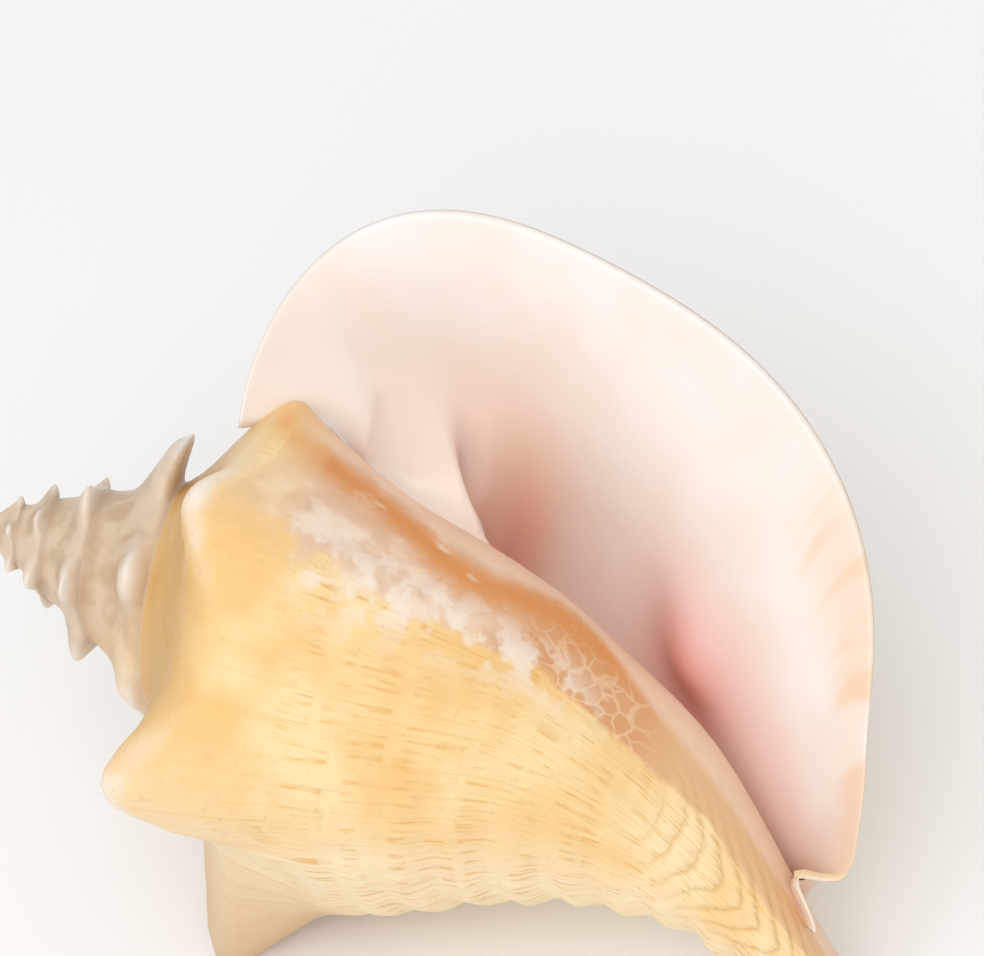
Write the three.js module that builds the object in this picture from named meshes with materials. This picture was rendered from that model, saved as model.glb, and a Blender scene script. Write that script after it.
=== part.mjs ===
// Conch shell: a right-handed spiral shell with a knobbed spire, a big last
// whorl, a wide flaring lip and a bent canal. Lengths in millimetres.
// The shell is worked out along its own coiling axis (a from the apex to the
// canal, u to the lip side, v to the opening side) and then laid down the way
// it rests on a table: on its back, opening upwards.
import * as THREE from 'three';

// size and growth of the coil
const WHORL_GROWTH = 1.56;        // growth of every length in one turn
const SUTURE_ALONG = 62.5;        // suture at the lip: distance from the apex
const SUTURE_RADIUS = 46.4;       // and from the axis
const SHOULDER_ALONG = 91.5;      // shoulder at the lip: distance from the apex
const SHOULDER_RADIUS = 72;       // and from the axis
const SHELL_LENGTH = 207;         // apex to the end of the canal
const SPIRE_TURNS = 5.5;          // turns kept, counted back from the lip
const SPIRE_SLIMMING = 0.92;      // the spire is slimmer than the last whorl

// canal
const CANAL_RADIUS = 12;
const CANAL_GROWTH = 1.45;
const BEND_START = 125;           // the canal starts to bend away here
const BEND_SIDE = -41;            // sideways reach of the bend at the end
const BEND_BACK = -8;

// spines on the shoulder
const SPINE_STEP = 0.1875;        // turns between two spines
const SPINE_FIRST = -0.25;        // place of the last grown one
const SPINE_TALL = 0.19;          // height as a share of the shoulder radius
const SPINE_EXTRA = 0.2;          // more for the biggest ones
const SPINE_WIDTH = 0.037;        // half width in turns
const RIB_HEIGHT = 2.2;           // low ribs running down from the spines

// lip and wall
const LIP_START = -0.22;          // turn where the lip leaves the spiral
const LIP_END = 0.13;             // turn of the lip's margin
const WALL = 4.6;                 // wall thickness
const WALL_AT_MARGIN = 1.5;
const FOOT = 8;                   // width of the wall's seat on the whorl before
const HOLLOW_TURNS = 0.5;         // depth of the open hollow in turns

// resting attitude: the upward direction and the way the opening looks, both
// given along the shell's own axes a, u, v
const UP = [-0.194, 0.543, 0.817];
const FACING = [0.208, 0, 0.978];

// mesh: rows to a turn, columns on ramp, ledge and body
const ROWS = 48;
const RAMP_COLUMNS = 6;
const LEDGE_COLUMNS = 2;
const BODY_COLUMNS = 20;
const RAMP_END = 0.24;
const LEDGE_END = 0.30;
const FOOT_END = 0.31;

const clip = (x) => Math.min(Math.max(x, 0), 1);
const mix = (p, q, w) => p + (q - p) * w;
const step = (from, to, x) => {
  const q = clip((x - from) / (to - from));
  return q * q * (3 - 2 * q);
};
const bell = (x, at, width) => Math.exp(-(((x - at) / width) ** 2));
const softMin = (p, q, c) => {
  const h = Math.max(c - Math.abs(p - q), 0) / c;
  return Math.min(p, q) - (h * h * h * c) / 6;
};

// distance along the axis of a column: ramp, ledge, seat of the wall, body
function along(t, j) {
  const g = WHORL_GROWTH ** t;
  const foot = FOOT * g * WHORL_GROWTH;
  const ledgeEnd = SUTURE_ALONG * WHORL_GROWTH * g;
  return SUTURE_ALONG * g
    + (SHOULDER_ALONG - SUTURE_ALONG) * g * clip(j / RAMP_END)
    + (ledgeEnd - SHOULDER_ALONG * g) * clip((j - RAMP_END) / (LEDGE_END - RAMP_END))
    + foot * clip((j - LEDGE_END) / (FOOT_END - LEDGE_END))
    + (SHELL_LENGTH - ledgeEnd - foot) * clip((j - FOOT_END) / (1 - FOOT_END));
}

// radius of the whorl: rising ramp, rounded shoulder, body narrowing to the canal
function radius(t, a) {
  const g = WHORL_GROWTH ** t;
  const x = Math.max((a / g - SUTURE_ALONG) / (SHOULDER_ALONG - SUTURE_ALONG), 0);
  const ramp = g * (SUTURE_RADIUS + (SHOULDER_RADIUS - SUTURE_RADIUS) * x ** 1.5);
  const canal = CANAL_RADIUS * CANAL_GROWTH ** t;
  let y = clip((a - SHOULDER_ALONG * g) / (SHELL_LENGTH - SHOULDER_ALONG * g));
  y = y ** mix(0.78, 1, step(-1.05, -0.6, t));
  const body = canal + (SHOULDER_RADIUS * g - canal) * 0.5 * (1 + Math.cos(Math.PI * y));
  return softMin(ramp, body, 8 * g) * mix(SPIRE_SLIMMING, 1, step(-1.5, -0.7, t));
}

function place(t, a, r) {
  const q = Math.max((a - BEND_START) / (SHELL_LENGTH - BEND_START), 0) ** 1.6;
  const angle = 2 * Math.PI * t;
  return [a, r * Math.cos(angle) + BEND_SIDE * q, r * Math.sin(angle) + BEND_BACK * q];
}

// spines on the shoulder, leaning to the apex on the front, and the ribs below
function addSpines(p, t, a, share) {
  const g = WHORL_GROWTH ** t;
  const tall = SHOULDER_RADIUS * g * (SPINE_TALL + SPINE_EXTRA * bell(t, -0.5, 0.19))
    * step(0, -0.36, t) * (1 - 0.7 * bell(t, -1.5, 0.16));
  const phase = (t - SPINE_FIRST) / SPINE_STEP;
  const off = (phase - Math.round(phase)) * SPINE_STEP;
  const down = a - SHOULDER_ALONG * g;
  const late = step(-1.05, -0.8, t);
  const width = g * (down > 0 ? mix(6, 15, late) : 11);
  const height = tall * bell(off, 0, SPINE_WIDTH) * bell(down, 0, width) * share;
  const rib = RIB_HEIGHT * bell(off, 0, 0.06) * late * step(-0.2, -0.4, t)
    * step(0, 10, down) * step(95, 40, down) * share;
  const front = step(-0.47, -0.6, t) * step(-1, -0.85, t);
  const lean = mix(0.3 * step(-1, -0.9, t), 0.95, front);
  const out = height * Math.cos(lean) + rib;
  const angle = 2 * Math.PI * t;
  return [
    p[0] - height * Math.sin(lean),
    p[1] + out * Math.cos(angle),
    p[2] + out * Math.sin(angle),
  ];
}

function whorl(t, j, spines) {
  const a = along(t, j);
  let p = place(t, a, radius(t, a));
  if (spines) p = addSpines(p, t, a, 1);
  const grown = clip(t + SPIRE_TURNS);
  return p.map((x) => x * grown);
}

// a whorl seated with its suture on the whorl before it
function seated(t, j, spines) {
  const p = whorl(t, j, spines);
  const seat = whorl(t - 1, LEDGE_END, true);
  const edge = whorl(t, 0, spines);
  const hold = step(RAMP_END * 0.75, 0, j);
  return p.map((x, i) => x + (seat[i] - edge[i]) * hold);
}

// margin of the flaring lip, from the hinder corner over the lobe to the notch
function margin(j) {
  const back = clip(j / RAMP_END);
  const y = clip((j - RAMP_END) / (1 - RAMP_END));
  const turn = 160.1 - 39.3 * back - 89.4 * y - 57.5 * y ** 5;
  const reach = 77.3 + 12.9 * bell(turn, 122.3, 26) - 8.2 * (1 - back) ** 3
    + 19.9 * bell(turn, -27.8, 19.1) - 10.3 * bell(turn, -22.2, 2.8)
    - 4.8 * step(0.93, 1, y);
  const c = Math.cos((turn * Math.PI) / 180);
  const s = Math.sin((turn * Math.PI) / 180);
  const v = mix(12, 26, step(0, 1, back)) - 4 * y - 17 * y ** 4;
  return { at: [(113.2 + reach * c + 0.208 * v) / 0.978, 14.2 + reach * s, v], c, s };
}

// the lip sheet, a smooth patch from the last whorl out to the margin
function lip(t, j) {
  const e = 0.002;
  const p = seated(LIP_START, j, false);
  const q = seated(LIP_START - e, j, false);
  const m = margin(j);
  const w = clip((t - LIP_START) / (LIP_END - LIP_START));
  const k = ((LIP_END - LIP_START) / e) * 0.8;
  const span = Math.hypot(m.at[0] - p[0], m.at[1] - p[1], m.at[2] - p[2]) * 1.1;
  const leave = [0.5 * m.c, 0.75 * m.s, 0.45];
  return p.map((x, i) => (2 * w ** 3 - 3 * w ** 2 + 1) * x
    + (w ** 3 - 2 * w ** 2 + w) * (x - q[i]) * k
    + (3 * w ** 2 - 2 * w ** 3) * m.at[i]
    + (w ** 3 - w ** 2) * span * leave[i]);
}

// outer face of the whole shell
function outside(t, j, spines) {
  if (t <= LIP_START) return seated(t, j, spines);
  const p = lip(t, j);
  const edge = lip(t, 0);
  const seat = whorl(Math.min(t, 0) - 1, LEDGE_END, true);
  const corner = margin(0).at;
  const free = clip(t / LIP_END);
  const hold = step(RAMP_END, 0, j);
  const q = p.map((x, i) => x + (mix(seat[i], corner[i], free) - edge[i]) * hold);
  return spines ? addSpines(q, t, along(Math.min(t, 0.05), j), 1 - hold) : q;
}

// inner face of the wall; deep inside it closes on the whorl before
function inside(t, j) {
  const free = step(0, LIP_END * 0.7, t);
  const ji = j + 0.276 * RAMP_END * (1 - clip(j / RAMP_END)) * (1 - free);
  const p = outside(t, ji, false);
  const w = step(LIP_START, LIP_END, t);
  const axial = 0.69 * (1 - step(RAMP_END * 0.5, RAMP_END * 1.3, j));
  const radial = -Math.sqrt(1 - axial * axial);
  const m = margin(j);
  const end = step(0.8, 1, j);
  const angle = 2 * Math.PI * t;
  const d = [
    mix(axial, mix(-0.45 * m.c, -0.2, end), w),
    mix(radial * Math.cos(angle), mix(-0.45 * m.s, -0.95, end), w),
    mix(radial * Math.sin(angle), mix(0.88, 0.25, end), w),
  ];
  const n = Math.hypot(...d);
  const x = clip((LIP_END - t) / 0.13);
  const thick = mix(WALL_AT_MARGIN, WALL, Math.sqrt(x) * 0.35 + 0.65 * step(0, 1, x))
    * mix(1, 0.5, step(0.75, 1, j)) * mix(0.5, 1, step(0, RAMP_END * 0.7, j));
  const before = whorl(Math.min(t, 0) - 1, Math.max(j, FOOT_END), true);
  const open = step(-HOLLOW_TURNS, -HOLLOW_TURNS + 0.16, t)
    * mix(step(0, RAMP_END * 0.3, j), 1, free);
  return p.map((q, i) => mix(before[i], q + (d[i] / n) * thick, open));
}

const spread = (from, to, count) =>
  Array.from({ length: count + 1 }, (_, i) => from + ((to - from) * i) / count);

// columns and rows
const rampColumns = spread(0, RAMP_END, RAMP_COLUMNS);
const ledgeColumns = spread(RAMP_END, LEDGE_END, LEDGE_COLUMNS).slice(1);
const bodyColumns = spread(0, 1, BODY_COLUMNS)
  .map((s) => FOOT_END + (1 - FOOT_END) * (1 - (1 - s) ** 1.5));
const spireColumns = [...rampColumns, ...ledgeColumns];
const allColumns = [...spireColumns, ...bodyColumns];
const lipRows = [...spread(0, LIP_END, Math.round(LIP_END * ROWS)).slice(1, -1),
  LIP_END - 0.010, LIP_END - 0.004, LIP_END];
const spireRows = spread(-SPIRE_TURNS, -1, Math.round((SPIRE_TURNS - 1) * ROWS));
const lastRows = [...spread(-1, 0, ROWS), ...lipRows];
const hollowRows = [...spread(-HOLLOW_TURNS, 0, ROWS * HOLLOW_TURNS), ...lipRows];
const coreRows = spread(-1 - HOLLOW_TURNS, -1, ROWS * HOLLOW_TURNS);
const frontRows = spread(-1, -HOLLOW_TURNS, ROWS * (1 - HOLLOW_TURNS));

// one welded skin from all the sheets
const corners = [];
const known = new Map();
const triangles = [];
function corner(p) {
  const key = p.map((x) => Math.round(x * 1e4)).join(' ');
  if (!known.has(key)) {
    known.set(key, corners.length);
    corners.push(p);
  }
  return known.get(key);
}
function triangle(a, b, c) {
  if (a !== b && b !== c && a !== c) triangles.push(a, b, c);
}
function sheet(grid, flip) {
  const ids = grid.map((row) => row.map(corner));
  for (let i = 0; i + 1 < ids.length; i += 1) {
    for (let k = 0; k + 1 < ids[i].length; k += 1) {
      const [a, b, c, d] = [ids[i][k], ids[i][k + 1], ids[i + 1][k], ids[i + 1][k + 1]];
      if (flip) {
        triangle(b, c, a);
        triangle(d, c, b);
      } else {
        triangle(a, c, b);
        triangle(b, c, d);
      }
    }
  }
}
sheet(spireRows.map((t) => spireColumns.map((j) => outside(t, j, true))), false);
sheet(lastRows.map((t) => allColumns.map((j) => outside(t, j, true))), false);
sheet(coreRows.map((t) => bodyColumns.map((j) => outside(t, j, true))), false);
sheet(hollowRows.map((t) => allColumns.map((j) => inside(t, j))), true);
sheet(allColumns.map((j) => [outside(LIP_END, j, true), inside(LIP_END, j)]), true);
sheet([0, ...lipRows].map((t) => [outside(t, 0, true), inside(t, 0)]), true);
sheet(frontRows.map((t) => [outside(t, 1, true), outside(-2 - t, 1, true)]), false);
sheet(hollowRows.map((t) => [outside(t, 1, true), inside(t, 1)]), false);

// lay the shell down in its resting attitude, lowest point on the table and
// the middle of its footprint box at the origin
const up = new THREE.Vector3(...UP).normalize();
const away = new THREE.Vector3(...FACING).negate();
away.addScaledVector(up, -away.dot(up)).normalize();
const right = new THREE.Vector3().crossVectors(away, up);
const laid = corners.map((p) => {
  const q = new THREE.Vector3(...p);
  return new THREE.Vector3(q.dot(right), q.dot(away), q.dot(up));
});
const box = new THREE.Box3().setFromPoints(laid);
const middle = box.getCenter(new THREE.Vector3());
const shift = new THREE.Vector3(middle.x, middle.y, box.min.z);

const geometry = new THREE.BufferGeometry();
geometry.setAttribute('position', new THREE.Float32BufferAttribute(
  laid.flatMap((p) => p.clone().sub(shift).toArray()), 3));
geometry.setIndex(triangles);
geometry.computeVertexNormals();

const shell = new THREE.Mesh(geometry, new THREE.MeshStandardMaterial({
  color: 0xe9c992,
  roughness: 0.45,
  metalness: 0,
}));
shell.name = 'shell';

const part = new THREE.Group();
part.name = 'conch_shell';
part.add(shell);
export default part;
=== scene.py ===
import math

import bpy
from mathutils import Matrix, Vector


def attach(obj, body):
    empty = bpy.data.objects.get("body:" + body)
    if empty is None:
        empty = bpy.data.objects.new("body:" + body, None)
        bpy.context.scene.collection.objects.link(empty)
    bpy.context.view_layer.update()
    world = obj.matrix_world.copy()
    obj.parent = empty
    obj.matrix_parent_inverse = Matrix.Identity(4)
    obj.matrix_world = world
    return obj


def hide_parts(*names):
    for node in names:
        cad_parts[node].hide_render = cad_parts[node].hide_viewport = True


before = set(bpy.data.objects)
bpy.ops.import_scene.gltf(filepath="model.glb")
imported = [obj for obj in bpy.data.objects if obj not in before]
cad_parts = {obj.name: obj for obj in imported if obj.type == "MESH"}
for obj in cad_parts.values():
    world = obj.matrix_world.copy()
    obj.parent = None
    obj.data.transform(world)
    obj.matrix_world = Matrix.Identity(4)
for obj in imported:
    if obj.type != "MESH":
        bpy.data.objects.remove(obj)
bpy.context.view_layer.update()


# The shell's form. A conch is one piece of hard lime that the animal lays down turn by turn
# as a widening spiral: knobbed spire, spined shoulder, big last whorl, flared lip, bent canal.
# All sizes are in millimetres; places run along the axis, to the lip side, and to the viewer.
shell_sizes = {
    "Whorl growth": 1.56,
    "Suture along": 62.5,
    "Suture radius": 46.4,
    "Shoulder along": 91.5,
    "Shoulder radius": 72.0,
    "Shell length": 207.0,
    "Canal radius": 12.0,
    "Spine share": 0.19,
    "Spine step": 0.1875,
    "Wall": 4.6,
}
spire_turns = 6.0
lip_start = -0.22
lip_end = 0.13
hollow_turns = 0.5
first_spine = -0.25
ramp_end = 0.24
ledge_end = 0.30
foot_end = 0.31


class Value:
    """A number on a node socket, so that sums and products of it add Math nodes to its tree."""

    def __init__(self, tree, socket):
        self.tree = tree
        self.socket = socket

    def node(self, kind, settings=None, sockets=None, output=0):
        made = self.tree.nodes.new(kind)
        for name, setting in (settings or {}).items():
            setattr(made, name, setting)
        for name, value in (sockets or {}).items():
            if isinstance(value, Value):
                self.tree.links.new(value.socket, made.inputs[name])
            else:
                made.inputs[name].default_value = value
        return Value(self.tree, made.outputs[output])

    def maths(self, operation, *terms):
        return self.node("ShaderNodeMath", {"operation": operation}, dict(enumerate(terms)))

    def __add__(self, other):
        return self.maths("ADD", self, other)

    def __radd__(self, other):
        return self.maths("ADD", other, self)

    def __sub__(self, other):
        return self.maths("SUBTRACT", self, other)

    def __rsub__(self, other):
        return self.maths("SUBTRACT", other, self)

    def __mul__(self, other):
        return self.maths("MULTIPLY", self, other)

    def __rmul__(self, other):
        return self.maths("MULTIPLY", other, self)

    def __truediv__(self, other):
        return self.maths("DIVIDE", self, other)

    def __rtruediv__(self, other):
        return self.maths("DIVIDE", other, self)

    def __pow__(self, other):
        return self.maths("POWER", self, other)

    def __rpow__(self, other):
        return self.maths("POWER", other, self)

    def __neg__(self):
        return self.maths("MULTIPLY", self, -1.0)


def mixed(start, end, share):
    return start + (end - start) * share


def ramped(start, end, number):
    return number.node(
        "ShaderNodeMapRange", {}, {"Value": number, "From Min": start, "From Max": end}
    )


def eased(start, end, number):
    return number.node(
        "ShaderNodeMapRange",
        {"interpolation_type": "SMOOTHSTEP"},
        {"Value": number, "From Min": start, "From Max": end},
    )


def bell(number, middle, width):
    away = (number - middle) / width
    return (-(away * away)).maths("EXPONENT", -(away * away))


def cosine(number):
    return number.maths("COSINE", number)


def sine(number):
    return number.maths("SINE", number)


def root(number):
    return number.maths("SQRT", number)


def lower(number, other):
    return number.maths("MINIMUM", number, other)


def higher(number, other):
    return number.maths("MAXIMUM", number, other)


def place_of(along, side, front):
    maker = next(part for part in (along, side, front) if isinstance(part, Value))
    return maker.node("ShaderNodeCombineXYZ", {}, {"X": along, "Y": side, "Z": front})


def parts_of(place):
    axes = (place.node("ShaderNodeSeparateXYZ", {}, {0: place}, axis) for axis in range(3))
    return tuple(axes)


def vector(operation, place, other=None, scale=None):
    sockets = {0: place}
    if other is not None:
        sockets[1] = other
    if scale is not None:
        sockets["Scale"] = scale
    return place.node("ShaderNodeVectorMath", {"operation": operation}, sockets)


def placed_between(start, end, share):
    return start.node(
        "ShaderNodeMix", {"data_type": "VECTOR"}, {0: share, 4: start, 5: end}, 1
    )


def start_recipe(name, inputs, outputs):
    tree = bpy.data.node_groups.new(name, "GeometryNodeTree")
    for label, kind in inputs:
        tree.interface.new_socket(label, in_out="INPUT", socket_type=kind)
    for label, kind in outputs:
        tree.interface.new_socket(label, in_out="OUTPUT", socket_type=kind)
    entry = tree.nodes.new("NodeGroupInput")
    return tree, {label: Value(tree, entry.outputs[label]) for label, kind in inputs}


def end_recipe(tree, results):
    exit_node = tree.nodes.new("NodeGroupOutput")
    for label, value in results.items():
        tree.links.new(value.socket, exit_node.inputs[label])


def use_recipe(tree, sizes, **given):
    sockets = {label: sizes[label] for label in shell_sizes}
    sockets.update({label.capitalize(): value for label, value in given.items()})
    first = next(iter(sizes.values()))
    return first.node("GeometryNodeGroup", {"node_tree": tree}, sockets)


number_socket = "NodeSocketFloat"
place_socket = "NodeSocketVector"
size_inputs = [(label, number_socket) for label in shell_sizes]
turn_and_column = [("Turn", number_socket), ("Column", number_socket)]

# one point of a whorl: ramp up from the suture, rounded shoulder with spines, long body
whorl_recipe, size = start_recipe(
    "Whorl point",
    size_inputs + turn_and_column + [("Spines", number_socket)],
    [("Point", place_socket)],
)
turn = size["Turn"]
column = size["Column"]
canal_growth = 1.45
canal_cut = 13.0
valley_depth = 9.0
rib_height = 2.2
bend_start = 125.0
bend_aside = 41.0
bend_back = 8.0
growth = size["Whorl growth"] ** turn
suture = size["Suture along"] * growth
shoulder = size["Shoulder along"] * growth
ledge = suture * size["Whorl growth"]
foot = growth * size["Whorl growth"] * 8.0
full_length = size["Shell length"] - canal_cut * eased(-0.45, -0.22, turn)
along = (
    suture
    + (shoulder - suture) * ramped(0.0, ramp_end, column)
    + (ledge - shoulder) * ramped(ramp_end, ledge_end, column)
    + foot * ramped(ledge_end, foot_end, column)
    + (full_length - ledge - foot) * ramped(foot_end, 1.0, column)
)
climb = higher((along - suture) / (shoulder - suture), 0.0)
ramp_radius = growth * (
    size["Suture radius"] + (size["Shoulder radius"] - size["Suture radius"]) * climb**1.5
)
canal_radius = size["Canal radius"] * canal_growth**turn
fall = ramped(shoulder, size["Shell length"], along) ** mixed(0.78, 1.0, eased(-1.05, -0.6, turn))
body_radius = canal_radius + (size["Shoulder radius"] * growth - canal_radius) * 0.5 * (
    1.0 + cosine(fall * math.pi)
)
radius = ramp_radius.maths("SMOOTH_MIN", ramp_radius, body_radius, growth * 8.0)
radius = radius * mixed(mixed(0.78, 0.72, eased(-3.0, -1.9, turn)), 1.0, eased(-1.85, -0.8, turn))
pillar = bell(turn, -1.0, 0.17)
radius = radius + pillar * (6.0 * bell(along, 168.0, 24.0) - 4.3 * bell(along, 88.0, 22.0))
radius = radius + 1.5 * bell(turn, -0.55, 0.12) * bell(along, 140.0, 35.0)

early = eased(-0.95, -1.3, turn)
top_knob = bell(turn, -1.9375, 0.06)
tall = (
    size["Shoulder radius"]
    * growth
    * (size["Spine share"] + 0.2 * bell(turn, -0.5, 0.19))
    * eased(0.0, -0.36, turn)
    * (1.0 - 0.7 * bell(turn, -1.5, 0.16))
    * mixed(1.0, 1.15, early)
    * mixed(1.0, 1.2, eased(-1.9, -2.4, turn))
    * (1.0 + 0.9 * top_knob)
    * (1.0 - 0.75 * bell(turn, -1.0, 0.07))
    * size["Spines"]
)
phase = (turn - first_spine) / size["Spine step"]
beside = (phase - phase.maths("ROUND", phase)) * size["Spine step"]
beside = beside + 0.012 * bell(turn, -0.63, 0.08)
down = along - shoulder + 4.0 * growth * early * (1.0 - 0.8 * top_knob)
late = eased(-1.05, -0.8, turn)
valley = valley_depth * (1.0 - bell(beside, 0.0, 0.06)) * bell(down, 0.0, 22.0) * bell(turn, -0.56, 0.13)
radius = radius - valley
below = down.maths("GREATER_THAN", down, 0.0)
above = mixed(11.0, 7.5, early)
spread = (1.0 + 0.5 * top_knob) * growth * mixed(above, mixed(7.0, 15.0, late), below)
clear = mixed(eased(ledge_end, ledge_end - 0.04, column), 1.0, eased(-1.05, -0.95, turn))
form = bell(beside, 0.0, mixed(0.037, 0.043, early) + 0.02 * top_knob) * bell(down / spread, 0.0, 1.0)
form = mixed(form, eased(0.05, 0.75, form), top_knob)
height = clear * tall * form
rib = (
    rib_height
    * bell(beside, 0.0, 0.06)
    * late
    * eased(-0.2, -0.4, turn)
    * eased(0.0, 10.0, down)
    * eased(95.0, 40.0, down)
    * size["Spines"]
)
to_front = eased(-0.47, -0.6, turn) * eased(-1.0, -0.85, turn)
lean = mixed(0.15 * eased(-1.0, -0.9, turn), 0.95, to_front) - 0.2 * top_knob
outward = radius + height * cosine(lean) + rib
bend = higher((along - bend_start) / (size["Shell length"] - bend_start), 0.0) ** 1.6
angle = turn * (2.0 * math.pi)
whorl_point = place_of(
    along - height * sine(lean),
    outward * cosine(angle) - bend * bend_aside + 2.4 * eased(75.0, 45.0, along),
    outward * sine(angle) - bend * bend_back,
)
grown = ramped(-spire_turns, 1.0 - spire_turns, turn)
end_recipe(whorl_recipe, {"Point": vector("SCALE", whorl_point, scale=grown)})

# a whorl seated with its suture on the whorl before it
seated_recipe, size = start_recipe(
    "Seated whorl point",
    size_inputs + turn_and_column + [("Spines", number_socket)],
    [("Point", place_socket)],
)
turn = size["Turn"]
column = size["Column"]
free_point = use_recipe(whorl_recipe, size, turn=turn, column=column, spines=size["Spines"])
seat_point = use_recipe(whorl_recipe, size, turn=turn - 1.0, column=ledge_end, spines=1.0)
edge_point = use_recipe(whorl_recipe, size, turn=turn, column=0.0, spines=size["Spines"])
hold = eased(ramp_end * 0.75, 0.0, column)
moved = vector("SCALE", vector("SUBTRACT", seat_point, edge_point), scale=hold)
end_recipe(seated_recipe, {"Point": vector("ADD", free_point, moved)})

# the lip's margin, from the hinder corner over the lobe and down to the notch by the canal
margin_recipe, size = start_recipe(
    "Lip margin",
    [("Column", number_socket)],
    [("Point", place_socket), ("Leaving", place_socket)],
)
column = size["Column"]
corner_part = ramped(0.0, ramp_end, column)
long_part = ramped(ramp_end, 1.0, column)
bearing = 160.1 - 39.3 * corner_part - 89.4 * long_part - 57.5 * long_part**5.0
reach = (
    77.3
    + 12.9 * bell(bearing, 122.3, 26.0)
    - 8.2 * (1.0 - corner_part) ** 3.0
    + 19.9 * bell(bearing, -27.8, 19.1)
    - 10.3 * bell(bearing, -22.2, 2.8)
    - 4.8 * eased(0.93, 1.0, long_part)
)
across = cosine(bearing * (math.pi / 180.0))
upward = sine(bearing * (math.pi / 180.0))
forward = mixed(12.0, 26.0, eased(0.0, 1.0, corner_part)) - 4.0 * long_part - 17.0 * long_part**4.0
margin_point = place_of(
    (113.2 + reach * across + 0.208 * forward) / 0.978, 14.2 + reach * upward, forward
)
end_recipe(margin_recipe, {"Point": margin_point, "Leaving": place_of(across, upward, 0.0)})


def margin_at(sizes, column, output):
    first = next(iter(sizes.values()))
    return first.node("GeometryNodeGroup", {"node_tree": margin_recipe}, {"Column": column}, output)


# the lip sheet, a smooth patch from the back of the last whorl out to the margin
lip_recipe, size = start_recipe(
    "Lip point", size_inputs + turn_and_column, [("Point", place_socket)]
)
turn = size["Turn"]
column = size["Column"]
nudge = 0.002
lip_span = lip_end - lip_start
root_point = use_recipe(seated_recipe, size, turn=lip_start, column=column, spines=0.0)
earlier_point = use_recipe(seated_recipe, size, turn=lip_start - nudge, column=column, spines=0.0)
margin_point = margin_at(size, column, 0)
across, upward, flat = parts_of(margin_at(size, column, 1))
gap = vector("SUBTRACT", margin_point, root_point)
long_way = root_point.node("ShaderNodeVectorMath", {"operation": "LENGTH"}, {0: gap}, 1) * 1.1
leaving = vector("SCALE", place_of(across * 0.5, upward * 0.75, flat + 0.45), scale=long_way)
starting = vector(
    "SCALE", vector("SUBTRACT", root_point, earlier_point), scale=lip_span / nudge * 0.8
)
way = ramped(lip_start, lip_end, turn)
square = way * way
cube = square * way
lip_point = vector("SCALE", root_point, scale=2.0 * cube - 3.0 * square + 1.0)
lip_point = vector("ADD", lip_point, vector("SCALE", starting, scale=cube - 2.0 * square + way))
lip_point = vector("ADD", lip_point, vector("SCALE", margin_point, scale=3.0 * square - 2.0 * cube))
lip_point = vector("ADD", lip_point, vector("SCALE", leaving, scale=cube - square))
end_recipe(lip_recipe, {"Point": lip_point})

# the outer face of the whole shell
outer_recipe, size = start_recipe(
    "Outer face point",
    size_inputs + turn_and_column + [("Spines", number_socket)],
    [("Point", place_socket)],
)
turn = size["Turn"]
column = size["Column"]
coil_turn = lower(turn, lip_start)
coil_point = use_recipe(seated_recipe, size, turn=coil_turn, column=column, spines=size["Spines"])
lip_point = use_recipe(lip_recipe, size, turn=turn, column=column)
lip_edge = use_recipe(lip_recipe, size, turn=turn, column=0.0)
seat_point = use_recipe(
    whorl_recipe, size, turn=lower(turn, 0.0) - 1.0, column=ledge_end, spines=1.0
)
corner_point = margin_at(size, 0.0, 0)
edge_point = placed_between(seat_point, corner_point, ramped(0.0, lip_end, turn))
hold = eased(ramp_end, 0.0, column)
moved = vector("SCALE", vector("SUBTRACT", edge_point, lip_edge), scale=hold)
lip_point = vector("ADD", lip_point, moved)
with_spines = use_recipe(whorl_recipe, size, turn=turn, column=column, spines=size["Spines"])
without_spines = use_recipe(whorl_recipe, size, turn=turn, column=column, spines=0.0)
spine_part = vector("SUBTRACT", with_spines, without_spines)
lip_point = vector("ADD", lip_point, vector("SCALE", spine_part, scale=1.0 - hold))
on_lip = turn.maths("GREATER_THAN", turn, lip_start)
end_recipe(outer_recipe, {"Point": placed_between(coil_point, lip_point, on_lip)})

# the inner face of the wall; deep inside it closes on the whorl before
inner_recipe, size = start_recipe(
    "Inner face point", size_inputs + turn_and_column, [("Point", place_socket)]
)
turn = size["Turn"]
column = size["Column"]
freed = eased(0.0, lip_end * 0.7, turn)
inner_column = column + 0.276 * ramp_end * (1.0 - ramped(0.0, ramp_end, column)) * (1.0 - freed)
outer_point = use_recipe(outer_recipe, size, turn=turn, column=inner_column, spines=0.0)
on_lip = eased(lip_start, lip_end, turn)
axial = 0.69 * (1.0 - eased(ramp_end * 0.5, ramp_end * 1.3, column))
radial = -root(1.0 - axial * axial)
across, upward, flat = parts_of(margin_at(size, column, 1))
by_canal = eased(0.8, 1.0, column)
angle = turn * (2.0 * math.pi)
inward = place_of(
    mixed(axial, mixed(across * -0.45, -0.2, by_canal), on_lip),
    mixed(radial * cosine(angle), mixed(upward * -0.45, -0.95, by_canal), on_lip),
    mixed(radial * sine(angle), mixed(flat + 0.88, 0.25, by_canal), on_lip),
)
from_margin = ramped(lip_end, lip_end - 0.13, turn)
margin_wall = 1.5
bulge_height = 7.0
thickness = mixed(
    margin_wall, size["Wall"], root(from_margin) * 0.35 + 0.65 * eased(0.0, 1.0, from_margin)
)
thickness = thickness * mixed(1.0, 0.5, eased(0.75, 1.0, column))
thickness = thickness * mixed(0.5, 1.0, eased(0.0, ramp_end * 0.7, column))
thickness = thickness + bulge_height * bell(turn, -0.085, 0.035) * bell(column, 0.71, 0.06)
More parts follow.
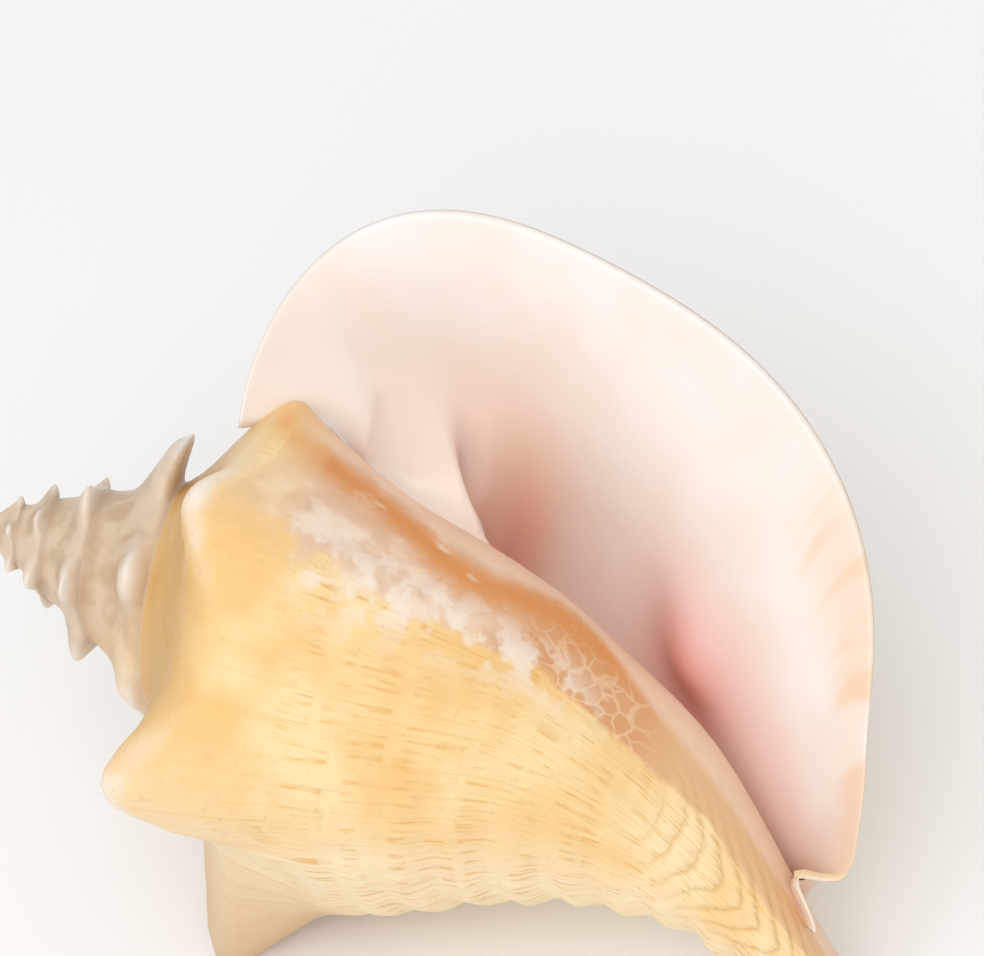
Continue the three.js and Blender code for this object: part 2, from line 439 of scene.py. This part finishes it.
wall_step = vector("SCALE", vector("NORMALIZE", inward), scale=thickness)
wall_point = vector("ADD", outer_point, wall_step)
crest = 0.285 - 0.2 * turn
crest_width = mixed(0.025, 0.09, eased(-0.12, 0.03, turn))
lobe = eased(crest + crest_width, crest - crest_width, column)
slot = bell(column, 0.37, 0.06)
closeness = mixed(0.65 - 0.15 * slot, 1.0, lobe) * eased(-hollow_turns, -0.3, turn)
closeness = closeness * eased(0.0, 0.02, column)
core_turn = mixed(lower(turn, 0.0) - 1.0, -1.0325, closeness)
lobe_column = mixed(foot_end, 0.53, ramped(0.0, 0.3, column))
core_column = mixed(higher(column, foot_end), lobe_column, lobe * closeness)
core_point = use_recipe(whorl_recipe, size, turn=core_turn, column=core_column, spines=1.0)
core_point = vector("ADD", core_point, place_of(0.0, closeness * 0.4, closeness * -0.6))
wide = eased(-hollow_turns, 0.28 - hollow_turns, turn)
narrow = eased(-0.42, -0.06, turn)
opened = mixed(mixed(narrow, wide, slot * 0.25), eased(-0.17, 0.03, turn), lobe)
opened = opened * mixed(eased(0.0, 0.13, column), 1.0, freed)
end_recipe(inner_recipe, {"Point": placed_between(core_point, wall_point, opened)})

# the skin: flat sheets laid out as turn, column and wall side, bent into place and welded
rows = 200
ramp_columns = 24
ledge_columns = 4
body_columns = 112
all_columns = ramp_columns + ledge_columns + 1 + body_columns
ramp_part = ramp_columns / all_columns
ledge_part = (ramp_columns + ledge_columns) / all_columns
foot_part = (ramp_columns + ledge_columns + 1) / all_columns

shell_recipe, size = start_recipe(
    "Conch shell",
    size_inputs + [("Seed", number_socket), ("Finish", "NodeSocketMaterial")],
    [("Shell", "NodeSocketGeometry")],
)
position = size["Wall"].node("GeometryNodeInputPosition")


def column_at(share):
    body_share = 1.0 - (1.0 - ramped(foot_part, 1.0, share)) ** 1.5
    return (
        ramp_end * ramped(0.0, ramp_part, share)
        + (ledge_end - ramp_end) * ramped(ramp_part, ledge_part, share)
        + (foot_end - ledge_end) * ramped(ledge_part, foot_part, share)
        + (1.0 - foot_end) * body_share
    )


def sheet(row_count, column_count, layout, turned=False):
    grid = position.node(
        "GeometryNodeMeshGrid",
        {},
        {"Size X": 1.0, "Size Y": 1.0, "Vertices X": row_count + 1, "Vertices Y": column_count + 1},
    )
    first, second = parts_of(position)[:2]
    laid = grid.node(
        "GeometryNodeSetPosition",
        {},
        {"Geometry": grid, "Position": place_of(*layout(first + 0.5, second + 0.5))},
    )
    if turned:
        laid = laid.node("GeometryNodeFlipFaces", {}, {"Mesh": laid})
    return laid


def spire_layout(row, across):
    return mixed(-spire_turns, -1.0, row), column_at(across * ledge_part), 0.0


def last_whorl_layout(row, across):
    return mixed(-1.0, lip_end, row), column_at(across), 0.0


def core_layout(row, across):
    return mixed(-1.0 - hollow_turns, -1.0, row), column_at(mixed(foot_part, 1.0, across)), 0.0


def hollow_layout(row, across):
    return mixed(-hollow_turns, lip_end, row), column_at(across), 1.0


def margin_layout(row, across):
    return lip_end, column_at(row), across


def hinder_edge_layout(row, across):
    return row * lip_end, 0.0, across


def canal_front_layout(row, across):
    return mixed(-1.0 + 0.5 * row, -1.0 - 0.5 * row, across), 1.0, 0.0


def canal_back_layout(row, across):
    return mixed(-hollow_turns, lip_end, row), 1.0, across


lip_rows = round(lip_end * rows)
hollow_rows = round(hollow_turns * rows)
sheets = [
    sheet(round((spire_turns - 1.0) * rows), ramp_columns + ledge_columns, spire_layout),
    sheet(rows + lip_rows, all_columns, last_whorl_layout),
    sheet(hollow_rows, body_columns, core_layout),
    sheet(hollow_rows + lip_rows, all_columns, hollow_layout, True),
    sheet(all_columns, 1, margin_layout, True),
    sheet(lip_rows, 1, hinder_edge_layout, True),
    sheet(hollow_rows, 1, canal_front_layout),
    sheet(hollow_rows + lip_rows, 1, canal_back_layout),
]
joined = shell_recipe.nodes.new("GeometryNodeJoinGeometry")
for one_sheet in sheets:
    shell_recipe.links.new(one_sheet.socket, joined.inputs[0])
skin = Value(shell_recipe, joined.outputs[0])
turn, column, side = parts_of(position)
skin = skin.node(
    "GeometryNodeStoreNamedAttribute",
    {"data_type": "FLOAT2", "domain": "CORNER"},
    {"Geometry": skin, "Name": "growth", "Value": place_of(turn, column, side)},
)
skin = skin.node(
    "GeometryNodeStoreNamedAttribute",
    {"data_type": "FLOAT", "domain": "CORNER"},
    {"Geometry": skin, "Name": "side", "Value": side},
)
outer_point = use_recipe(outer_recipe, size, turn=turn, column=column, spines=1.0)
inner_point = use_recipe(inner_recipe, size, turn=turn, column=column)
skin_point = placed_between(outer_point, inner_point, side)
tip_size = 0.4
tip_stretch = 5.0
from_tip = position.node("ShaderNodeVectorMath", {"operation": "LENGTH"}, {0: skin_point}, 1)
skin_point = vector("SCALE", skin_point, scale=from_tip.maths("GREATER_THAN", from_tip, tip_size))
along, sideways, forward = parts_of(skin_point)
skin_point = place_of(along - tip_stretch * eased(45.0, -10.0, along), sideways, forward)
skin = skin.node("GeometryNodeSetPosition", {}, {"Geometry": skin, "Position": skin_point})

# fine relief, pushed out along the face: cords, growth waves, canal folds, pad and flakes
growth_place = position.node(
    "GeometryNodeInputNamedAttribute", {"data_type": "FLOAT_VECTOR"}, {"Name": "growth"}
)
turn, column = parts_of(growth_place)[:2]
side = position.node("GeometryNodeInputNamedAttribute", {"data_type": "FLOAT"}, {"Name": "side"})


def cloud(where, scale, detail=2.0):
    sockets = {"Vector": where, "Scale": scale, "Detail": detail}
    return where.node("ShaderNodeTexNoise", {}, sockets)


def noise_at(where, scale, detail=2.0):
    return cloud(where, scale, detail) - 0.5


def canal_folds(turn, column, growth_place):
    zone = eased(0.72, 0.78, column) * eased(0.98, 0.94, column) * bell(turn, -0.72, 0.1)
    phase = column * 38.0 + (turn + 0.75) ** 2.0 * 130.0 + noise_at(growth_place, 8.0) * 1.6
    return zone, phase.maths("FRACT", phase)


def pad_border(turn, column, seed):
    return -0.8 + noise_at(place_of(turn * 14.0, column * 14.0, seed), 1.0, 4.0) * 0.1


def from_slit(turn, column):
    return ((turn + 1.32) / 0.075) ** 2.0 + ((column - 0.075) / 0.022) ** 2.0


def wave(number):
    return sine(number * (2.0 * math.pi))


seed_stride = 17.0
slit_depth = 5.0
from_seam = (turn + 1.0).maths("ABSOLUTE", turn + 1.0)
on_outside = (1.0 - side) * eased(0.0, 0.015, from_seam) * eased(0.0, 0.03, column)
on_outside = on_outside * eased(1.0, 0.985, column) * eased(lip_end - 0.01, lip_end - 0.07, turn)
on_spire = eased(-1.0, -1.001, turn)
on_outside = on_outside * mixed(1.0, eased(0.3, 0.27, column), on_spire)
on_last = 1.0 - on_spire
on_back = eased(-0.5, -0.3, turn)
by_seed = size["Seed"] * seed_stride
lumps = noise_at(position, 0.07, 3.0) * 2.4 + noise_at(position, 0.3, 2.0) * 0.5
waves = noise_at(place_of(turn * 60.0, column * 5.0, by_seed), 1.0) * mixed(0.7, 1.1, on_back)
cords = wave(column * 34.0 + noise_at(growth_place, 9.0)) * mixed(0.03, 0.5, on_back)
scallops = wave(column * 17.0) * 0.8 * bell(turn, -0.52, 0.1) * eased(0.36, 0.45, column)
fold_zone, fold_rise = canal_folds(turn, column, growth_place)
folds = fold_rise * 1.2 * fold_zone
pad_edge = pad_border(turn, column, by_seed)
pad = eased(pad_edge, pad_edge - 0.012, turn) * on_last
flakes = noise_at(position, 0.32, 4.0) * 1.1 * bell(turn, -0.8, 0.05) * eased(0.3, 0.34, column)
flakes = flakes * eased(0.75, 0.65, column)
slit_edge = from_slit(turn, column) + noise_at(position, 0.4) * 0.8
slit = eased(1.25, 0.8, slit_edge) * -slit_depth
calm = 1.0 - 0.85 * pad
relief = on_last * (waves * calm + cords + scallops + folds + pad * 0.55 + flakes)
relief = (relief + lumps * calm + slit) * on_outside
normal = position.node("GeometryNodeInputNormal")
skin = skin.node(
    "GeometryNodeSetPosition",
    {},
    {"Geometry": skin, "Offset": vector("SCALE", normal, scale=relief)},
)
weld_gap = 0.002
skin = skin.node("GeometryNodeMergeByDistance", {}, {"Geometry": skin, "Distance": weld_gap})

# laid down as it rests on a table, in metres
rest_up = Vector((-0.194, 0.543, 0.817)).normalized()
rest_away = Vector((-0.208, 0.0, -0.978))
rest_away = (rest_away - rest_up * rest_away.dot(rest_up)).normalized()
rest_right = rest_away.cross(rest_up)
rest_shift = Vector((89.72, -67.912, -80.262))


def laid_down(point):
    apart = Vector((point.dot(rest_right), point.dot(rest_away), point.dot(rest_up)))
    return (apart - rest_shift) * 0.001


rest_parts = []
for direction, shift in zip((rest_right, rest_away, rest_up), rest_shift):
    along_it = position.node(
        "ShaderNodeVectorMath", {"operation": "DOT_PRODUCT"}, {0: position, 1: tuple(direction)}, 1
    )
    rest_parts.append((along_it - shift) * 0.001)
skin = skin.node(
    "GeometryNodeSetPosition", {}, {"Geometry": skin, "Position": place_of(*rest_parts)}
)
skin = skin.node("GeometryNodeSetShadeSmooth", {}, {"Geometry": skin})
skin = skin.node("GeometryNodeRealizeInstances", {}, {"Geometry": skin})
skin = skin.node(
    "GeometryNodeSetMaterial", {}, {"Geometry": skin, "Material": size["Finish"]}
)
end_recipe(shell_recipe, {"Shell": skin})

shell_finish = bpy.data.materials.new("conch shell")
shell_finish.use_nodes = True

blank = bpy.data.objects.new("conch blank", bpy.data.meshes.new("conch blank"))
bpy.context.scene.collection.objects.link(blank)
grower = blank.modifiers.new("growth", "NODES")
grower.node_group = shell_recipe
settings = dict(shell_sizes, Seed=3.0, Finish=shell_finish)
for item in shell_recipe.interface.items_tree:
    if item.in_out == "INPUT":
        grower[item.identifier] = settings[item.name]
seen = blank.evaluated_get(bpy.context.evaluated_depsgraph_get())
shell_mesh = bpy.data.meshes.new_from_object(seen)
blank.modifiers.remove(grower)
bpy.data.objects.remove(blank)
shell_mesh.name = "conch_shell"
shell = bpy.data.objects.new("conch_shell", shell_mesh)
bpy.context.scene.collection.objects.link(shell)
shell_mesh.materials.clear()
shell_mesh.materials.append(shell_finish)
for face in shell_mesh.polygons:
    face.material_index = 0
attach(shell, "root")
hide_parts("shell")


# The shell's surface. Outside it is chalky, straw coloured and streaked along its growth lines;
# the inner face is smooth as glazed china, white at the lip and rose red deep in the mouth.
gold = (0.86, 0.53, 0.19, 1.0)
straw = (0.90, 0.67, 0.35, 1.0)
cream = (0.94, 0.79, 0.54, 1.0)
streak_brown = (0.74, 0.38, 0.08, 1.0)
fine_brown = (0.80, 0.48, 0.16, 1.0)
ramp_brown = (0.60, 0.34, 0.12, 1.0)
knob_white = (0.90, 0.82, 0.72, 1.0)
spire_grey = (0.70, 0.54, 0.39, 1.0)
spire_brown = (0.56, 0.40, 0.26, 1.0)
seam_brown = (0.47, 0.33, 0.22, 1.0)
tip_white = (0.86, 0.80, 0.73, 1.0)
painted_spine_shade = (0.62, 0.40, 0.21, 1.0)
pad_pale = (0.87, 0.70, 0.54, 1.0)
pad_brown = (0.74, 0.52, 0.36, 1.0)
pad_rust = (0.66, 0.31, 0.12, 1.0)
vein_pale = (0.84, 0.58, 0.36, 1.0)
pad_tan = (0.74, 0.46, 0.24, 1.0)
band_orange = (0.70, 0.27, 0.06, 1.0)
rim_pale = (0.84, 0.59, 0.43, 1.0)
stain_orange = (0.85, 0.38, 0.09, 1.0)
flake_white = (0.88, 0.76, 0.64, 1.0)
fold_brown = (0.80, 0.50, 0.19, 1.0)
slit_shadow_red = (0.25, 0.01, 0.02, 1.0)
speck_brown = (0.62, 0.42, 0.22, 1.0)
lip_white = (0.93, 0.87, 0.83, 1.0)
lip_cream = (0.92, 0.82, 0.75, 1.0)
lobe_cream = (0.96, 0.85, 0.77, 1.0)
deep_peach = (0.95, 0.75, 0.66, 1.0)
crease_peach = (0.96, 0.72, 0.57, 1.0)
slot_rose = (0.97, 0.57, 0.46, 1.0)
low_rose = (0.88, 0.60, 0.52, 1.0)
bulge_rose = (0.76, 0.32, 0.28, 1.0)
stripe_tan = (0.88, 0.58, 0.34, 1.0)
margin_tan = (0.90, 0.66, 0.46, 1.0)
end_tan = (0.84, 0.60, 0.46, 1.0)
paint = shell_finish.node_tree
paint.nodes.remove(paint.nodes["Principled BSDF"])
growth_map = paint.nodes.new("ShaderNodeUVMap")
growth_map.uv_map = "growth"
growth_place = Value(paint, growth_map.outputs[0])
turn, column = parts_of(growth_place)[:2]
side_read = paint.nodes.new("ShaderNodeAttribute")
side_read.attribute_name = "side"
side = Value(paint, side_read.outputs[2])
place_read = paint.nodes.new("ShaderNodeTexCoord")
place = Value(paint, place_read.outputs["Object"])


def tinted(under, over, share):
    return share.node("ShaderNodeMix", {"data_type": "RGBA"}, {0: share, 6: under, 7: over}, 2)


def cloud_colour(where, scale):
    return where.node("ShaderNodeTexNoise", {}, {"Vector": where, "Scale": scale, "Detail": 1.0}, 1)


mottle = cloud(place, 45.0, 2.0)
blotch = cloud(place, 130.0, 3.0)
grain = cloud(place, 500.0, 2.0)
streaks = cloud(place_of(turn * 220.0, column * 14.0, 0.0), 1.0, 2.0)
breaks = cloud(place_of(turn * 9.0, column * 40.0, 0.0), 1.0, 2.0)
on_spire = eased(-1.1, -1.9, turn + (mottle - 0.5) * 0.6) * eased(0.34, 0.3, column)

outer_colour = tinted(
    tinted(gold, straw, eased(0.36, 0.66, mottle)),
    cream,
    higher(eased(-0.7, -0.54, turn) * 0.8, eased(0.6, 0.78, column) * 0.3),
)
streak_share = eased(0.5, 0.66, streaks) * eased(0.38, 0.58, breaks) * eased(0.3, 0.36, column)
outer_colour = tinted(outer_colour, streak_brown, streak_share * 0.62)
fine_share = eased(0.55, 0.7, cloud(place_of(turn * 420.0, column * 5.0, 0.0), 1.0, 1.0))
outer_colour = tinted(outer_colour, fine_brown, fine_share * 0.35)
ramp_share = eased(0.22, 0.12, column) * eased(-0.45, -0.6, turn) * 0.75
outer_colour = tinted(outer_colour, ramp_brown, ramp_share)
phase = (turn - first_spine) / shell_sizes["Spine step"]
beside = phase - phase.maths("ROUND", phase)
knob_share = bell(beside, 0.0, 0.2) * bell(column, 0.25, 0.035) * eased(0.3, 0.55, mottle + 0.1)
outer_colour = tinted(outer_colour, knob_white, knob_share * 0.95)

spire_colour = tinted(spire_grey, spire_brown, eased(0.42, 0.66, blotch))
seam_share = higher(bell(column, 0.0, 0.035), bell(column, 0.295, 0.02))
spire_colour = tinted(spire_colour, seam_brown, seam_share * 0.7)
tip_share = bell(beside, 0.0, 0.2) * bell(column, 0.23, 0.045)
spire_colour = tinted(spire_colour, tip_white, tip_share * 0.9)
outer_colour = tinted(outer_colour, spire_colour, on_spire)
# painted shade: the spine at the bottom of the last whorl is darkened with grey brown, as if the light
# falls from above
painted_shade_share = bell(turn, -0.44, 0.07) * eased(0.42, 0.34, column) * 0.8
outer_colour = tinted(outer_colour, painted_spine_shade, painted_shade_share)

# the glaze beside the mouth: pale rim, brown band, net of pale veins, and worn white flakes
pad_edge = pad_border(turn, column, settings["Seed"] * seed_stride)
pad_share = eased(pad_edge + 0.004, pad_edge - 0.012, turn) * eased(0.29, 0.32, column)
warped = vector("ADD", place, vector("SCALE", cloud_colour(place, 160.0), scale=0.006))
net = place.node(
    "ShaderNodeTexVoronoi", {"feature": "DISTANCE_TO_EDGE"}, {"Vector": warped, "Scale": 210.0}
)
vein_share = eased(0.1, 0.02, net) * eased(0.55, 0.62, column) * eased(0.76, 0.7, column)
pad_colour = tinted(pad_pale, pad_brown, eased(0.35, 0.6, blotch))
pad_colour = tinted(pad_colour, pad_rust, eased(0.5, 0.6, column) * 0.9)
pad_colour = tinted(pad_colour, vein_pale, vein_share * 0.6)
pad_colour = tinted(pad_colour, pad_tan, eased(0.7, 0.78, column))
band_middle = -0.905 + 0.045 * bell(column, 0.5, 0.09)
band_share = bell(turn, band_middle, 0.03) * eased(0.22, 0.42, blotch) * eased(0.75, 0.65, column)
pad_colour = tinted(pad_colour, band_orange, band_share)
rim_start = mixed(band_middle - 0.02, -0.87, eased(0.6, 0.75, column))
pad_colour = tinted(pad_colour, rim_pale, eased(rim_start, rim_start - 0.035, turn) * 0.9)
outer_colour = tinted(outer_colour, pad_colour, pad_share)
stain_share = bell(column, 0.262, 0.03) * bell(turn, -0.928, 0.018)
outer_colour = tinted(outer_colour, stain_orange, stain_share * 0.8)
flake_share = bell(turn, -0.805, 0.03) * eased(0.31, 0.35, column) * eased(0.72, 0.6, column)
flake_share = flake_share * eased(0.44, 0.58, cloud(place, 170.0, 4.0))
outer_colour = tinted(outer_colour, flake_white, flake_share * 0.8)

# the canal's folds, the dark slit, and fine brown specks
fold_zone, fold_rise = canal_folds(turn, column, growth_place)
fold_share = eased(0.3, 0.0, fold_rise) * fold_zone
outer_colour = tinted(outer_colour, fold_brown, fold_share * 0.6)
# painted shadow: the slit's pit is painted near black red, standing in for the shade inside the opening
slit_shadow_share = eased(1.1, 0.7, from_slit(turn, column))
outer_colour = tinted(outer_colour, slit_shadow_red, slit_shadow_share)
outer_colour = tinted(outer_colour, speck_brown, eased(0.6, 0.75, grain) * 0.25)

# the inner face
inner_colour = tinted(
    tinted(lip_white, lip_cream, eased(0.35, 0.7, mottle)),
    lobe_cream,
    eased(0.36, 0.24, column) * eased(0.06, -0.02, turn) * 0.8,
)
deep_share = eased(-0.05, -0.17, turn)
inner_colour = tinted(inner_colour, deep_peach, deep_share * eased(0.3, 0.4, column))
peach_share = bell(column, 0.36, 0.1) * eased(0.07, -0.06, turn)
inner_colour = tinted(inner_colour, crease_peach, peach_share * 0.75)
slot_share = bell(column, 0.36, 0.05) * eased(-0.03, -0.12, turn)
inner_colour = tinted(inner_colour, slot_rose, slot_share)
low_share = eased(0.55, 0.75, column) * eased(0.0, -0.09, turn) * 0.7
inner_colour = tinted(inner_colour, low_rose, low_share)
bulge_share = bell(turn, -0.1, 0.05) * bell(column, 0.71, 0.08)
inner_colour = tinted(inner_colour, bulge_rose, bulge_share)
stripes = cloud(place_of(0.0, column * 42.0, turn * 3.0), 1.0, 2.0)
stripe_share = eased(0.48, 0.62, stripes) * eased(0.76, 0.84, column) * eased(0.03, 0.09, turn)
inner_colour = tinted(inner_colour, stripe_tan, stripe_share * 0.6)
tan_share = eased(0.74, 0.84, column) * eased(0.96, 0.9, column) * eased(0.03, 0.1, turn)
inner_colour = tinted(inner_colour, margin_tan, tan_share * 0.5)
end_share = eased(0.93, 0.98, column) * 0.6
inner_colour = tinted(inner_colour, end_tan, end_share)

# chalk outside and china inside meet at the lip's edge
glazed = eased(-0.78, -0.83, turn)
roughness = mixed(0.55 + (grain - 0.5) * 0.2, 0.38, glazed)
bumped = place.node(
    "ShaderNodeBump",
    {},
    {"Strength": 0.25, "Distance": 0.0006, "Height": (streaks + grain) * (1.0 - 0.7 * glazed)},
)
china = place.node(
    "ShaderNodeBsdfPrincipled", {}, {"Base Color": inner_colour, "Roughness": 0.3}
)
chalk = place.node(
    "ShaderNodeBsdfPrincipled",
    {},
    {"Base Color": outer_colour, "Roughness": roughness, "Normal": bumped},
)
both = place.node("ShaderNodeMixShader", {}, {0: eased(0.05, 0.35, side), 1: chalk, 2: china})
paint.links.new(both.socket, paint.nodes["Material Output"].inputs["Surface"])


# The floor and the light: a wide pale board in a bright, even room.
# One large soft lamp hangs above the shell and a smaller one stands in front of its mouth.
floor_mesh = bpy.data.meshes.new("floor")
floor_mesh.from_pydata(
    [(-3.0, -3.0, 0.0), (3.0, -3.0, 0.0), (3.0, 3.0, 0.0), (-3.0, 3.0, 0.0)], [], [(0, 1, 2, 3)]
)
floor = bpy.data.objects.new("floor", floor_mesh)
bpy.context.scene.collection.objects.link(floor)
floor_finish = bpy.data.materials.new("floor")
floor_finish.use_nodes = True
board = floor_finish.node_tree.nodes["Principled BSDF"]
board.inputs["Base Color"].default_value = (0.92, 0.92, 0.92, 1.0)
board.inputs["Roughness"].default_value = 0.8
floor_mesh.materials.append(floor_finish)

scene = bpy.context.scene
room = bpy.data.worlds.new("room")
room.use_nodes = True
room.node_tree.nodes["Background"].inputs["Color"].default_value = (1.0, 1.0, 1.0, 1.0)
room.node_tree.nodes["Background"].inputs["Strength"].default_value = 0.72
scene.world = room


def soft_lamp(name, spot, aim, width, power):
    lamp = bpy.data.lights.new(name, "AREA")
    lamp.shape = "SQUARE"
    lamp.size = width
    lamp.energy = power
    holder = bpy.data.objects.new(name, lamp)
    holder.location = spot
    holder.rotation_euler = (Vector(aim) - Vector(spot)).to_track_quat("-Z", "Y").to_euler()
    scene.collection.objects.link(holder)


soft_lamp("lamp above", (-0.5, -0.5, 1.4), (0.0, 0.0, 0.05), 1.6, 8.0)
soft_lamp("lamp in front", (-0.1, -0.9, 1.1), (0.0, 0.0, 0.05), 0.8, 3.5)


# The camera, at the photograph's own angle: it looks down into the mouth, with the spire
# to its left. A long lens far away keeps the whorls in proportion.
shell_tilt = math.radians(17.5)
shell_turn = math.radians(12.0)
view_right = Vector((
    math.cos(shell_tilt) * math.cos(shell_turn),
    math.sin(shell_tilt),
    -math.cos(shell_tilt) * math.sin(shell_turn),
))
view_up = Vector((
    -math.sin(shell_tilt) * math.cos(shell_turn),
    math.cos(shell_tilt),
    math.sin(shell_tilt) * math.sin(shell_turn),
))
view_back = view_right.cross(view_up)
lens = bpy.data.cameras.new("camera")
lens.lens = 202.0
lens.sensor_width = 36.0
lens.clip_end = 20.0
camera = bpy.data.objects.new("camera", lens)
axes = [
    Vector((way.dot(rest_right), way.dot(rest_away), way.dot(rest_up)))
    for way in (view_right, view_up, view_back)
]
camera.matrix_world = Matrix(
    [[axes[0][row], axes[1][row], axes[2][row]] for row in range(3)]
).to_4x4()
camera.location = laid_down(view_right * 110.2 + view_up * 11.7 + view_back * 1200.0)
scene.collection.objects.link(camera)
scene.camera = camera
scene.view_settings.view_transform = "Standard"
